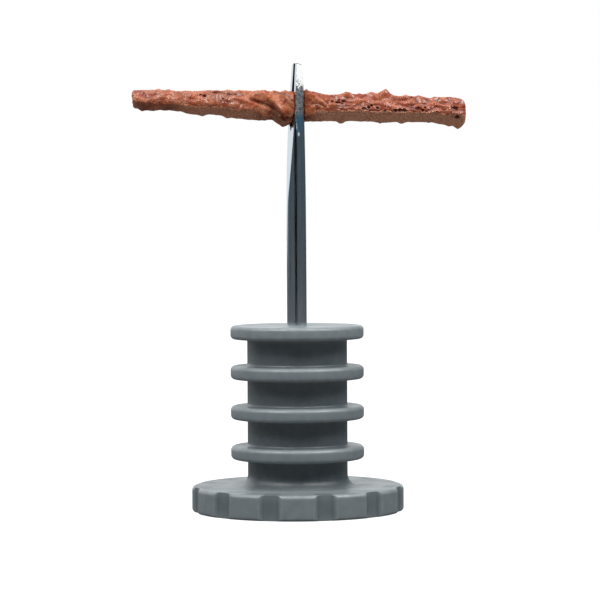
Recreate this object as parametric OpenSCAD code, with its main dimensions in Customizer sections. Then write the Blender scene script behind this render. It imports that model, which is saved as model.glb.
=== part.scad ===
// Tyre plug insertion tool that stores in the end of a handlebar.
// A moulded ribbed handle with a scalloped flange holds a steel needle.
// The split eye at the needle's tip carries a short strip of sticky rubber.
// Millimetres. The origin is the centre of the flange's outer face, +Z runs up to the tip,
// and the strip lies along X.

/* [Handle] */
// Diameter of the flange over its lobes
flange_d = 31.8; // [28:0.1:40]
// Thickness of the flange
flange_t = 3.8; // [3:0.1:6]
// Rounding of the flange's upper edge
flange_top_round = 0.6; // [0.2:0.1:1]
// Rounding of the flange's lower edge
flange_bottom_round = 0.5; // [0.2:0.1:1]
// Fillet between the flange and the core
flange_fillet = 1.6; // [0.5:0.1:2]
// Number of finger notches around the flange
notch_count = 12; // [8:1:16]
// Width of a notch at the flange's edge
notch_w = 3.5; // [2.5:0.1:4.5]
// Depth of a notch
notch_depth = 0.55; // [0.3:0.05:1]
// Slope of a notch's sides from the radial direction, in degrees
notch_slope = 55; // [30:1:60]
// Depth of the dished gate mark in the outer face
gate_depth = 0.3; // [0.2:0.1:0.5]
// Diameter of the dished gate mark
gate_d = 4; // [2:0.5:6]
// Diameter of the core
core_d = 15; // [13:0.1:17]
// Diameter of the ribs, which grip the handlebar's bore
rib_d = 20; // [18:0.1:24]
// Thickness of a rib
rib_t = 2; // [1.6:0.1:2.6]
// Clear gap between one rib and the next, and between the flange and the first rib
rib_gap = 4; // [2.5:0.1:6]
// Number of ribs
rib_count = 4; // [2:1:5]
// Rounding of a rib's outer edges
rib_round = 0.6; // [0.3:0.05:0.7]
// Fillet where a rib meets the core
rib_fillet = 0.4; // [0.2:0.05:0.8]

/* [Needle] */
// Diameter of the steel rod
rod_d = 2.95; // [2.4:0.05:3.6]
// Length of the needle above the handle
needle_l = 39.3; // [33:0.1:48]
// Depth of the needle's root inside the handle
root_l = 19; // [15:0.5:21]
// Width across the flattened wings that anchor the root
wing_w = 5.5; // [4.2:0.1:7]
// Thickness of the wings
wing_t = 1.2; // [0.8:0.1:1.6]
// Height of the wings
wing_h = 5; // [3:0.5:7]
// Distance from the tip down to where the left flat runs out
left_flat_l = 20.2; // [18:0.1:24]
// Lean of the left flat from the needle's axis, in degrees
left_flat_lean = 3.7; // [2:0.05:3.8]
// Distance from the tip down to where the right flat runs out
right_flat_l = 25.3; // [18:0.1:28]
// Lean of the right flat, in degrees
right_flat_lean = 1.72; // [1:0.01:2]
// Distance from the tip down to where the front and back bevels run out
bevel_l = 10.8; // [8:0.1:14]
// Lean of the front and back bevels, in degrees
bevel_lean = 2.7; // [1.5:0.1:3]
// Radius of the domed tip
tip_dome_r = 1.6; // [1.5:0.05:3]
// Turn of the blade and its eye away from the strip's direction, in degrees
eye_turn = 22; // [0:1:30]

/* [Eye] */
// Length of the split eye from the tip down to the bottom of its vee
eye_l = 10.3; // [9.5:0.1:13]
// Widest part of the eye, around the strip
eye_w = 1.2; // [0.9:0.05:1.4]
// Width of the split at the tip
split_w = 0.7; // [0.6:0.05:0.9]
// Height of the vee at the bottom of the eye
vee_h = 0.7; // [0.4:0.1:1]

/* [Strip] */
// Length of the strip
strip_l = 50; // [40:1:60]
// How far the strip's middle lies to the right of the needle
strip_shift = 0.4; // [-3:0.1:3]
// Height of the strip's centre above the bottom of the eye
strip_seat = 3.7; // [3.4:0.1:5]
// Tilt of the strip, right end down, in degrees
strip_tilt = 2.4; // [0:0.1:5]
// Width of the strip from front to back
strip_w = 3.7; // [3:0.1:4.2]
// Height of the strip where it bulges beside the eye
bulge_h = 4.9; // [4:0.1:5.4]
// Width of the strip where it bulges beside the eye
bulge_w = 4; // [3.4:0.1:4.6]
// Height of the strip's right arm
right_h = 4; // [3:0.1:4.6]
// Height of the strip's left arm at its inner end
left_h = 4.2; // [3.2:0.1:4.6]
// Height of the strip's left arm at its cut end
left_end_h = 3; // [2.4:0.1:3.6]
// Half length of the strip's middle, which the eye grips
middle_half = 3; // [2.8:0.1:4]
// Rounding along the strip's edges
strip_round = 0.9; // [0.4:0.1:1.2]

/* [Clearances] */
// Gap between the strip's neck and each wall of the split at the tip
neck_clearance = 0.13; // [0.1:0.01:0.2]
// Gap between the strip's bulges and the blade's flats
flat_clearance = 0.15; // [0.1:0.01:0.3]
// Gap between the strip's middle and each arm
fold_gap = 0.1; // [0.08:0.01:0.2]

/* [Hidden] */
$fn = 64;
cut_over = 1;
// How far the needle's taper cutters stand outside the rod
cut_skin = 0.1;
// The eye's sides are this much closer together at the ends of the length that holds the strip
eye_taper = 0.05;
// Half of the eye's length that holds the strip
eye_hold = 1.4;
// Distance from the tip down to where the split opens out into the eye
split_run = 2;
rod_r = rod_d / 2;
rib_pitch = rib_t + rib_gap;
handle_h = flange_t + rib_count * rib_pitch;
tip_z = handle_h + needle_l;
eye_z = tip_z - eye_l;
strip_z = eye_z + strip_seat;
// The neck is thin enough to leave through the split at the tip
neck_t = split_w - 2 * neck_clearance;
// An arm's inner end is a half round about its hinge, clear of the middle's end face
left_hinge_x = middle_half + fold_gap + left_h / 2;
right_hinge_x = middle_half + fold_gap + right_h / 2;
left_end_x = strip_l / 2 - strip_shift;
right_end_x = strip_l / 2 + strip_shift;
// Half thickness of the blade on each side of its middle plane, where the strip's lowest edge passes
strip_low_z = strip_z - bulge_h / 2;
left_half_t = rod_r - (strip_low_z - (tip_z - left_flat_l)) * tan(left_flat_lean);
right_half_t = rod_r - (strip_low_z - (tip_z - right_flat_l)) * tan(right_flat_lean);
gate_r = (gate_d * gate_d / 4 + gate_depth * gate_depth) / (2 * gate_depth);

// Concave fillet that fills the corner at the origin
module corner_fillet(r) {
    difference() {
        square(r);
        translate([r, r]) circle(r);
    }
}

// Outline of a disc's right half, from the axis to radius r, with rounded upper and lower edges
module disc_outline(r, t, top_round, bottom_round) {
    widest = max(top_round, bottom_round);
    square([r - widest, t]);
    translate([0, bottom_round]) square([r, t - top_round - bottom_round]);
    square([r - bottom_round, t / 2]);
    translate([0, t / 2]) square([r - top_round, t / 2]);
    translate([r - bottom_round, bottom_round]) circle(bottom_round);
    translate([r - top_round, t - top_round]) circle(top_round);
}

// Rectangle centred on the origin with rounded corners
module rounded_rectangle(w, h, r) {
    square([w - 2 * r, h], center = true);
    square([w, h - 2 * r], center = true);
    for (x = [-1, 1], y = [-1, 1])
        translate([x * (w / 2 - r), y * (h / 2 - r)]) circle(r);
}

// Outline of the handle from its axis outwards
module handle_outline() {
    disc_outline(flange_d / 2, flange_t, flange_top_round, flange_bottom_round);
    translate([0, flange_t / 2]) square([core_d / 2, handle_h - flange_t]);
    translate([core_d / 2, flange_t]) corner_fillet(flange_fillet);
    for (i = [1 : rib_count]) {
        top = flange_t + i * rib_pitch;
        translate([0, top - rib_t]) disc_outline(rib_d / 2, rib_t, rib_round, rib_round);
        translate([core_d / 2, top - rib_t]) mirror([0, 1]) corner_fillet(rib_fillet);
        if (i < rib_count)
            translate([core_d / 2, top]) corner_fillet(rib_fillet);
    }
}

// Bar that cuts one notch, narrower at its floor than at the flange's edge
module notch_cutter() {
    floor_r = flange_d / 2 - notch_depth;
    spread = tan(notch_slope);
    outer_half = notch_w / 2 + cut_over * spread;
    floor_half = notch_w / 2 - notch_depth * spread;
    translate([0, 0, -cut_over])
        linear_extrude(flange_t + 2 * cut_over)
            polygon([[floor_r, -floor_half], [floor_r + notch_depth + cut_over, -outer_half],
                     [floor_r + notch_depth + cut_over, outer_half], [floor_r, floor_half]]);
}

// Flattened wings that keep the needle's root from turning or pulling out
module anchor_wings() {
    translate([0, 0, handle_h - root_l + wing_h])
        cube([wing_w, wing_t, wing_h], center = true);
}

// Part of the needle that the handle is moulded around
module needle_root() {
    translate([0, 0, handle_h - root_l]) cylinder(h = root_l, r = rod_r);
    anchor_wings();
}

module handle() {
    color("slategray")
        difference() {
            rotate_extrude() handle_outline();
            for (i = [0 : notch_count - 1])
                rotate([0, 0, (i + 0.5) * 360 / notch_count]) notch_cutter();
            translate([0, 0, gate_depth - gate_r]) sphere(gate_r);
            needle_root();
        }
}

// Prism that shaves the rod's +X side along a plane which runs out at run_out_z
module taper_cutter(run_out_z, lean) {
    rise = tip_z + cut_over - run_out_z;
    outer_x = rod_r + cut_skin;
    rotate([90, 0, 0])
        linear_extrude(2 * rod_d, center = true)
            polygon([[outer_x, run_out_z - cut_skin / tan(lean)],
                     [rod_r - rise * tan(lean), tip_z + cut_over],
                     [outer_x, tip_z + cut_over]]);
}

// Right half of the eye's outline, across the blade and upwards from the bottom of the vee
eye_side = [[0, 0], [split_w / 2, vee_h], [eye_w / 2 - eye_taper, strip_seat - eye_hold],
            [eye_w / 2, strip_seat], [eye_w / 2 - eye_taper, strip_seat + eye_hold],
            [split_w / 2, eye_l - split_run], [split_w / 2, eye_l + cut_over]];

// Prism of the split eye, straight through the blade along X
module eye_cutter() {
    mirrored = [for (i = [len(eye_side) - 1 : -1 : 1]) [-eye_side[i][0], eye_side[i][1]]];
    translate([0, 0, eye_z])
        rotate([90, 0, 90])
            linear_extrude(2 * rod_d, center = true)
                polygon(concat(eye_side, mirrored));
}

// Ring that rounds the tip to a dome
module dome_cutter() {
    translate([0, 0, tip_z - tip_dome_r])
        difference() {
            cylinder(h = tip_dome_r + cut_over, r = rod_r + cut_over);
            sphere(tip_dome_r);
        }
}

module needle() {
    color("silver")
        difference() {
            union() {
                translate([0, 0, handle_h - root_l]) cylinder(h = root_l + needle_l, r = rod_r);
                anchor_wings();
            }
            rotate([0, 0, eye_turn]) {
                rotate([0, 0, 180]) taper_cutter(tip_z - left_flat_l, left_flat_lean);
                taper_cutter(tip_z - right_flat_l, right_flat_lean);
                for (side = [90, -90])
                    rotate([0, 0, side]) taper_cutter(tip_z - bevel_l, bevel_lean);
                eye_cutter();
            }
            dome_cutter();
        }
}

// Places a piece of the strip: its own origin is the strip's centre at the needle
module strip_frame() {
    translate([0, 0, strip_z]) rotate([0, strip_tilt, 0]) children();
}

// Slab that the blade fills, with its clearance, between the strip's two bulges
module blade_space() {
    rotate([0, 0, eye_turn])
        translate([-left_half_t - flat_clearance, -bulge_w, strip_z - bulge_h])
            cube([left_half_t + right_half_t + 2 * flat_clearance, 2 * bulge_w, 2 * bulge_h]);
}

// Thin neck of the strip, squeezed through the eye
module strip_neck() {
    reach = left_half_t + right_half_t + 2 * flat_clearance;
    translate([0, 0, strip_z])
        rotate([0, 0, eye_turn])
            translate([(right_half_t - left_half_t) / 2, 0, 0])
                cube([reach + strip_round, neck_t, bulge_h - strip_round], center = true);
}

module strip_middle() {
    color("sienna") {
        difference() {
            strip_frame()
                rotate([90, 0, 90])
                    linear_extrude(2 * middle_half, center = true)
                        rounded_rectangle(bulge_w, bulge_h, strip_round);
            blade_space();
        }
        strip_neck();
    }
}

// Arm of the strip along +X from its hinge to end_x, with its height going from inner_h to end_h
module strip_arm(hinge_x, end_x, inner_h, end_h) {
    intersection() {
        rotate([90, 0, 0])
            linear_extrude(strip_w, center = true) {
                translate([hinge_x, 0]) circle(inner_h / 2);
                polygon([[hinge_x, -inner_h / 2], [end_x, -end_h / 2],
                         [end_x, end_h / 2], [hinge_x, inner_h / 2]]);
            }
        translate([hinge_x - inner_h, 0, 0])
            rotate([90, 0, 90])
                linear_extrude(end_x - hinge_x + 2 * inner_h)
                    rounded_rectangle(strip_w, inner_h + cut_over, strip_round);
    }
}

module strip_left() {
    color("peru")
        strip_frame()
            mirror([1, 0, 0]) strip_arm(left_hinge_x, left_end_x, left_h, left_end_h);
}

module strip_right() {
    color("chocolate")
        strip_frame()
            strip_arm(right_hinge_x, right_end_x, right_h, right_h);
}

handle();
needle();
strip_middle();
strip_left();
strip_right();
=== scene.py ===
"""Looks of a tyre plug insertion tool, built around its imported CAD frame.

A grey moulded handle with four grip ribs and a notched flange carries a plated steel needle.
The needle's split eye holds a short strip of sticky rubber, whose two arms fold down along it.
Sizes are in millimetres in the tool's own frame, with +Z up to the tip and the strip along X.
"""
import itertools
import logging
from dataclasses import dataclass, field
from enum import Enum

import bpy
import numpy as np
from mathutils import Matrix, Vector


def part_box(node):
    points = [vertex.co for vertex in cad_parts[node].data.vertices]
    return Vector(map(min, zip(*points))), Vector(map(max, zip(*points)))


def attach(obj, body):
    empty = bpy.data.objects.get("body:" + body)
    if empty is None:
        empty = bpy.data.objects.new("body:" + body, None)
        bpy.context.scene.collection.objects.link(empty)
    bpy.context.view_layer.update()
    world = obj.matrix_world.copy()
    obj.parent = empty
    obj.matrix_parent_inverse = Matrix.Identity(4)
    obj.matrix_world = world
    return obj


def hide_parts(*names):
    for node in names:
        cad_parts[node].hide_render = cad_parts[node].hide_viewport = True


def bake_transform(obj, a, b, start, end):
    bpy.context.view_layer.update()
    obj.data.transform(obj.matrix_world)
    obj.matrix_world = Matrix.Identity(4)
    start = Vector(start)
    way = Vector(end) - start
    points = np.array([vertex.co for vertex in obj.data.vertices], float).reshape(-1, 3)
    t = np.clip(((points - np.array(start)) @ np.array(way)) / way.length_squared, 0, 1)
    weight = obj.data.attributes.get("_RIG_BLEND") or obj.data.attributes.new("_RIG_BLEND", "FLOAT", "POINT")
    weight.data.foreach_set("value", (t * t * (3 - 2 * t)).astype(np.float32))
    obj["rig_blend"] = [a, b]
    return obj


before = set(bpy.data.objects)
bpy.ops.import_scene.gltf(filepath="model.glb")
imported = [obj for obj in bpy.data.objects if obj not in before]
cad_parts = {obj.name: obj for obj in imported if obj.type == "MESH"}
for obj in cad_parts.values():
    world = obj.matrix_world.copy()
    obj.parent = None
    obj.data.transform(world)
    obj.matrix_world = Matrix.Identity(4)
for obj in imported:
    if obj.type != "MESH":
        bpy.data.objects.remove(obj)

MM = 0.001
NOISE_SLOPES = 256
NOISE_GAIN = 1.6
LAYER_SHIFT = 17.3
Socket = bpy.types.NodeSocket
Number = float | Socket
Colour = tuple | Socket
log = logging.getLogger("plug_tool")


# ---------------------------------------------------------------- shapes and numbers

def smooth_step(low: float, high: float, x: np.ndarray) -> np.ndarray:
    """Rises smoothly from 0 at low to 1 at high, as 3t^2 - 2t^3."""
    t = np.clip((x - low) / (high - low), 0, 1)
    return t * t * (3 - 2 * t)


def eased(x: np.ndarray, points: tuple[tuple[float, float], ...]) -> np.ndarray:
    """Runs through the points with an easing of 3t^2 - 2t^3 from each one to the next.

    Args:
        x: where the curve is wanted.
        points: (place, value) pairs in rising order of place.

    Returns:
        The curve's value at each x.
    """
    places, values = np.array(points, float).T
    i = np.clip(np.searchsorted(places, x) - 1, 0, len(places) - 2)
    t = np.clip((x - places[i]) / (places[i + 1] - places[i]), 0, 1)
    return values[i] + (values[i + 1] - values[i]) * t * t * (3 - 2 * t)


def soft_min(distances: list[np.ndarray], sharpness: float) -> np.ndarray:
    """Smallest of the distances with its corners rounded: (sum of d^-p) to the power -1/p.

    Args:
        distances: arrays of distances that fit together in shape.
        sharpness: the power p. A higher one rounds the corners less.

    Returns:
        The rounded smallest distance at each place.
    """
    stack = np.stack(np.broadcast_arrays(*distances))
    least = stack.min(0)
    return least * ((stack / least) ** -sharpness).sum(0) ** (-1 / sharpness)


def wrapped(angle: np.ndarray) -> np.ndarray:
    """The same angle, from -pi to pi."""
    return (angle + np.pi) % (2 * np.pi) - np.pi


def gradient_noise(points: np.ndarray, seed: int) -> np.ndarray:
    """Gradient noise: each cell corner has a random slope, and the slopes' heights are blended together.

    The blend eases each way across a cell by 6t^5 - 15t^4 + 10t^3.

    Args:
        points: places in cells, of shape (..., 3).
        seed: picks the pattern.

    Returns:
        Heights of about -1 to 1, of shape (...).
    """
    rng = np.random.default_rng(seed)
    order = rng.permutation(NOISE_SLOPES)
    slopes = rng.normal(size=(NOISE_SLOPES, 3))
    slopes /= np.linalg.norm(slopes, axis=1, keepdims=True)
    cell = np.floor(points).astype(int)
    inside = points - cell
    ease = inside ** 3 * (inside * (inside * 6 - 15) + 10)
    total = np.zeros(points.shape[:-1])
    for corner in itertools.product((0, 1), repeat=3):
        at = cell + corner
        pick = 0
        for axis in range(3):
            pick = order[(pick + at[..., axis]) % NOISE_SLOPES]
        height = ((inside - corner) * slopes[pick]).sum(-1)
        share = np.where(np.array(corner) == 1, ease, 1 - ease).prod(-1)
        total += height * share
    return total * NOISE_GAIN


def layered_noise(points: np.ndarray, seed: int, layers: int = 3, fall: float = 0.5) -> np.ndarray:
    """Sum of gradient noises, each twice as fine as the last and weaker by fall.

    Args:
        points: places in cells of the coarsest noise, of shape (..., 3).
        seed: picks the pattern.
        layers: how many noises are added.
        fall: the strength of each noise against the one before it.

    Returns:
        Heights, of shape (...).
    """
    total = np.zeros(points.shape[:-1])
    for layer in range(layers):
        total += gradient_noise(points * 2 ** layer + LAYER_SHIFT * layer, seed + layer) * fall ** layer
    return total


def rounded_path(corners: np.ndarray, radii: np.ndarray, steps: int) -> np.ndarray:
    """Path through the corners with an arc of its own radius at each one, tangent to both sides.

    Args:
        corners: (n, 2) points; the first and last are the path's ends.
        radii: n - 2 arc radii, one for each corner between the ends.
        steps: points on each arc.

    Returns:
        (m, 2) points of the path.
    """
    before, at, after = corners[:-2], corners[1:-1], corners[2:]
    back = (before - at) / np.linalg.norm(before - at, axis=1, keepdims=True)
    on = (after - at) / np.linalg.norm(after - at, axis=1, keepdims=True)
    half = np.arccos(np.clip((back * on).sum(1), -1, 1)) / 2
    reach = (radii / np.tan(half))[:, None]
    bisector = (back + on) / np.linalg.norm(back + on, axis=1, keepdims=True)
    centre = at + bisector * (radii / np.sin(half))[:, None]
    start, end = at + back * reach - centre, at + on * reach - centre
    angle = np.arctan2(start[:, 1], start[:, 0])
    turn = wrapped(np.arctan2(end[:, 1], end[:, 0]) - angle)
    swept = angle[:, None] + turn[:, None] * np.linspace(0, 1, steps)
    arcs = centre[:, None] + radii[:, None, None] * np.stack([np.cos(swept), np.sin(swept)], -1)
    return np.concatenate([corners[:1], arcs.reshape(-1, 2), corners[-1:]])


def filled_path(path: np.ndarray, spacing: float) -> np.ndarray:
    """Adds points to a path's long straight runs.

    Args:
        path: (n, 2) points, which are all kept.
        spacing: how far apart the extra points are. One that falls close to a kept point is left out.

    Returns:
        (m, 2) points of the same path.
    """
    along = np.concatenate([[0], np.cumsum(np.linalg.norm(np.diff(path, axis=0), axis=1))])
    extra = np.arange(spacing, along[-1], spacing)
    nearest = np.abs(extra[:, None] - along[None]).min(1)
    stops = np.sort(np.concatenate([along, extra[nearest > spacing * 0.4]]))
    return np.stack([np.interp(stops, along, path[:, k]) for k in range(2)], 1)


def ring_faces(rows: int, columns: int, first: int = 0) -> np.ndarray:
    """Quads between neighbouring closed rings.

    Args:
        rows: how many rings there are.
        columns: points on each ring.
        first: vertex number of the first ring's first point. Ring r, column c is first + r * columns + c.

    Returns:
        (n, 4) vertex numbers.
    """
    r, c = np.meshgrid(np.arange(rows - 1), np.arange(columns), indexing="ij")
    here, beside = r * columns + c, r * columns + (c + 1) % columns
    quads = np.stack([here, beside, beside + columns, here + columns], -1)
    return first + quads.reshape(-1, 4)


def pole_faces(ring: np.ndarray, pole: int) -> np.ndarray:
    """Triangles from each edge of a ring of vertex numbers to one pole vertex."""
    return np.stack([ring, np.roll(ring, -1), np.full(len(ring), pole)], -1)


@dataclass
class Surface:
    """A closed surface: its points in millimetres, its faces and its point attributes."""

    points: np.ndarray
    faces: list[np.ndarray]
    attributes: dict[str, np.ndarray] = field(default_factory=dict)

    def volume(self) -> float:
        """Signed volume: the sum over triangle fans of a . (b x c) / 6.

        Returns:
            The volume in cubic millimetres, positive when the faces look outwards.
        """
        total = 0.0
        for group in self.faces:
            a = self.points[group[:, 0]]
            for k in range(1, group.shape[1] - 1):
                b, c = self.points[group[:, k]], self.points[group[:, k + 1]]
                total += float((a * np.cross(b, c)).sum()) / 6
        return total

    def to_object(self, name: str, material: bpy.types.Material,
                  crease_degrees: float) -> bpy.types.Object:
        """Puts the surface into a mesh object at the origin, facing outwards.

        Args:
            name: the object's name.
            material: what it is made of.
            crease_degrees: edges that turn by more than this are drawn sharp.

        Returns:
            The new object, linked to the scene.
        """
        volume = self.volume()
        groups = [group if volume > 0 else group[:, ::-1] for group in self.faces]
        faces = list(itertools.chain.from_iterable(group.tolist() for group in groups))
        mesh = bpy.data.meshes.new(name)
        mesh.from_pydata((self.points * MM).tolist(), [], faces)
        for key, values in self.attributes.items():
            layer = mesh.attributes.new(key, "FLOAT", "POINT")
            layer.data.foreach_set("value", np.ascontiguousarray(values, np.float32))
        mesh.polygons.foreach_set("use_smooth", np.ones(len(mesh.polygons), bool))
        mesh.set_sharp_from_angle(angle=np.radians(crease_degrees))
        mesh.materials.append(material)
        mesh.update()
        piece = bpy.data.objects.new(name, mesh)
        bpy.context.scene.collection.objects.link(piece)
        log.info("%s: %d points, %d faces, %.1f mm3", name, len(self.points), len(faces), abs(volume))
        return piece


# ---------------------------------------------------------------- finishes

def linear(red: int, green: int, blue: int) -> tuple[float, float, float, float]:
    """A display colour as the linear colour that the shaders take, by the sRGB formula.

    Args:
        red: 0 to 255.
        green: 0 to 255.
        blue: 0 to 255.

    Returns:
        Red, green, blue and an alpha of 1.
    """
    c = np.array([red, green, blue]) / 255
    low, high = c / 12.92, ((c + 0.055) / 1.055) ** 2.4
    return (*np.where(c <= 0.04045, low, high).tolist(), 1.0)


class NodeTree:
    """Short calls for adding and joining the nodes of one material or group."""

    def __init__(self, tree: bpy.types.NodeTree) -> None:
        """Keeps the tree that the calls add to."""
        self.tree = tree

    def feed(self, node: bpy.types.Node, inputs: dict[str | int, Number | Colour]) -> bpy.types.Node:
        """Sets a node's inputs.

        Args:
            node: the node that is fed.
            inputs: socket name or number to a value, or to the output socket that feeds it.

        Returns:
            The same node.
        """
        for key, value in inputs.items():
            if isinstance(value, Socket):
                self.tree.links.new(value, node.inputs[key])
            else:
                node.inputs[key].default_value = value
        return node

    def add(self, kind: str, inputs: dict[str | int, Number | Colour] | None = None,
            **settings: object) -> bpy.types.Node:
        """Adds a node.

        Args:
            kind: the node's type name.
            inputs: socket name or number to a value, or to the output socket that feeds it.
            settings: the node's own properties.

        Returns:
            The new node.
        """
        node = self.tree.nodes.new(kind)
        for key, value in settings.items():
            setattr(node, key, value)
        return self.feed(node, inputs or {})

    def math(self, operation: str, *values: Number) -> Socket:
        """A Math node of that operation on the values."""
        return self.add("ShaderNodeMath", dict(enumerate(values)), operation=operation).outputs[0]

    def span(self, value: Number, low: float, high: float, to_low: float = 0.0,
             to_high: float = 1.0) -> Socket:
        """Maps a value from the range low..high to to_low..to_high, easing towards both ends."""
        return self.add("ShaderNodeMapRange", {0: value, 1: low, 2: high, 3: to_low, 4: to_high},
                        interpolation_type="SMOOTHSTEP").outputs[0]

    def mix(self, share: Number, first: Colour, second: Colour) -> Socket:
        """Mixes two colours: the first where the share is 0 and the second where it is 1."""
        return self.add("ShaderNodeMix", {0: share, 6: first, 7: second}, data_type="RGBA").outputs[2]

    def noise(self, coordinates: Socket, scale: Number, detail: float = 2.0,
              roughness: float = 0.5) -> Socket:
        """Noise of that many cells to the metre."""
        return self.add("ShaderNodeTexNoise", {"Vector": coordinates, "Scale": scale, "Detail": detail,
                                               "Roughness": roughness}).outputs["Fac"]

    def grain(self, coordinates: Socket, scale: float, fine_share: float) -> Socket:
        """Height of the surface grain that the moulding and the rubber share."""
        return self.add("ShaderNodeGroup", {"Vector": coordinates, "Scale": scale, "Fine Share": fine_share},
                        node_tree=grain_group()).outputs["Height"]

    def attribute(self, name: str) -> Socket:
        """A point attribute of the piece."""
        return self.add("ShaderNodeAttribute", attribute_name=name).outputs["Fac"]

    def place(self) -> Socket:
        """The surface's own coordinates, in metres."""
        return self.add("ShaderNodeTexCoord").outputs["Object"]


def grain_group() -> bpy.types.ShaderNodeTree:
    """Fine surface grain: two noises, at Scale and at four times Scale, the second weighed by Fine Share.

    Returns:
        The node group, which is made once.
    """
    group = bpy.data.node_groups.get("surface_grain")
    if group:
        return group
    group = bpy.data.node_groups.new("surface_grain", "ShaderNodeTree")
    inputs = {"Vector": "NodeSocketVector", "Scale": "NodeSocketFloat", "Fine Share": "NodeSocketFloat"}
    for name, kind in inputs.items():
        group.interface.new_socket(name, in_out="INPUT", socket_type=kind)
    group.interface.new_socket("Height", in_out="OUTPUT", socket_type="NodeSocketFloat")
    n = NodeTree(group)
    source = n.add("NodeGroupInput").outputs
    coarse = n.noise(source["Vector"], source["Scale"], detail=3.0)
    fine = n.noise(source["Vector"], n.math("MULTIPLY", source["Scale"], 4.0), detail=2.0)
    height = n.math("ADD", coarse, n.math("MULTIPLY", fine, source["Fine Share"]))
    n.add("NodeGroupOutput", {"Height": height})
    return group


def new_material(name: str) -> tuple[bpy.types.Material, NodeTree, bpy.types.Node]:
    """Makes a node material.

    Args:
        name: the material's name.

    Returns:
        The material, its node tree and its Principled shader.
    """
    material = bpy.data.materials.new(name)
    material.use_nodes = True
    tree = NodeTree(material.node_tree)
    return material, tree, material.node_tree.nodes["Principled BSDF"]


@dataclass(frozen=True)
class MouldedPlastic:
    """Semi-matte grey moulding with fine spark-eroded grain, painted highlight on edges and faces, painted
    shade in hollows.
    """

    colour: tuple = linear(99, 106, 109)
    # pale: painted highlight on the edges, faces and top, and the paler grain specks
    pale: tuple = linear(124, 130, 132)
    deep: tuple = linear(91, 98, 101)
    # painted shade: the darker tone for the hollows between the ribs, the flange's top and the notches'
    # corners
    painted_shade: tuple = linear(68, 75, 79)
    clouds_per_m: float = 260.0
    patches_per_m: float = 900.0
    grain_per_m: float = 5200.0
    fine_share: float = 0.35
    grain_strength: float = 0.55
    grain_depth_m: float = 0.000012
    speck_share: float = 0.12
    rough_in_clouds: float = 0.34
    rough_between: float = 0.42
    specular: float = 0.5

    def build(self) -> bpy.types.Material:
        """Cloudy colour, painted shade and painted highlight from the piece's own masks, and grain on colour
        and normal.

        Returns:
            The material.
        """
        material, n, shader = new_material("moulded_grey")
        place = n.place()
        clouds = n.span(n.noise(place, self.clouds_per_m, detail=4.0), 0.35, 0.65)
        patchy = n.noise(place, self.patches_per_m, detail=3.0)
        # painted shade from the handle's own mask, broken up by patches
        shade_share = n.math("MULTIPLY", n.attribute("painted_shade"), n.span(patchy, 0.3, 0.7, 0.9, 0.6))
        # painted highlight from the handle's own mask, broken up by patches
        highlighted = n.math("MULTIPLY", n.attribute("painted_light"), n.span(patchy, 0.3, 0.7, 0.5, 0.85))
        height = n.grain(place, self.grain_per_m, self.fine_share)
        speck = n.math("MULTIPLY", n.span(height, 0.45, 0.85), self.speck_share)
        base = n.mix(clouds, self.deep, self.colour)
        for share, tint in ((shade_share, self.painted_shade), (highlighted, self.pale), (speck, self.pale)):
            base = n.mix(share, base, tint)
        bump = n.add("ShaderNodeBump", {"Height": height, "Strength": self.grain_strength,
                                        "Distance": self.grain_depth_m})
        n.feed(shader, {"Base Color": base, "Normal": bump.outputs[0], "Specular IOR Level": self.specular,
                        "Roughness": n.span(clouds, 0.0, 1.0, self.rough_between, self.rough_in_clouds)})
        return material


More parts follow.
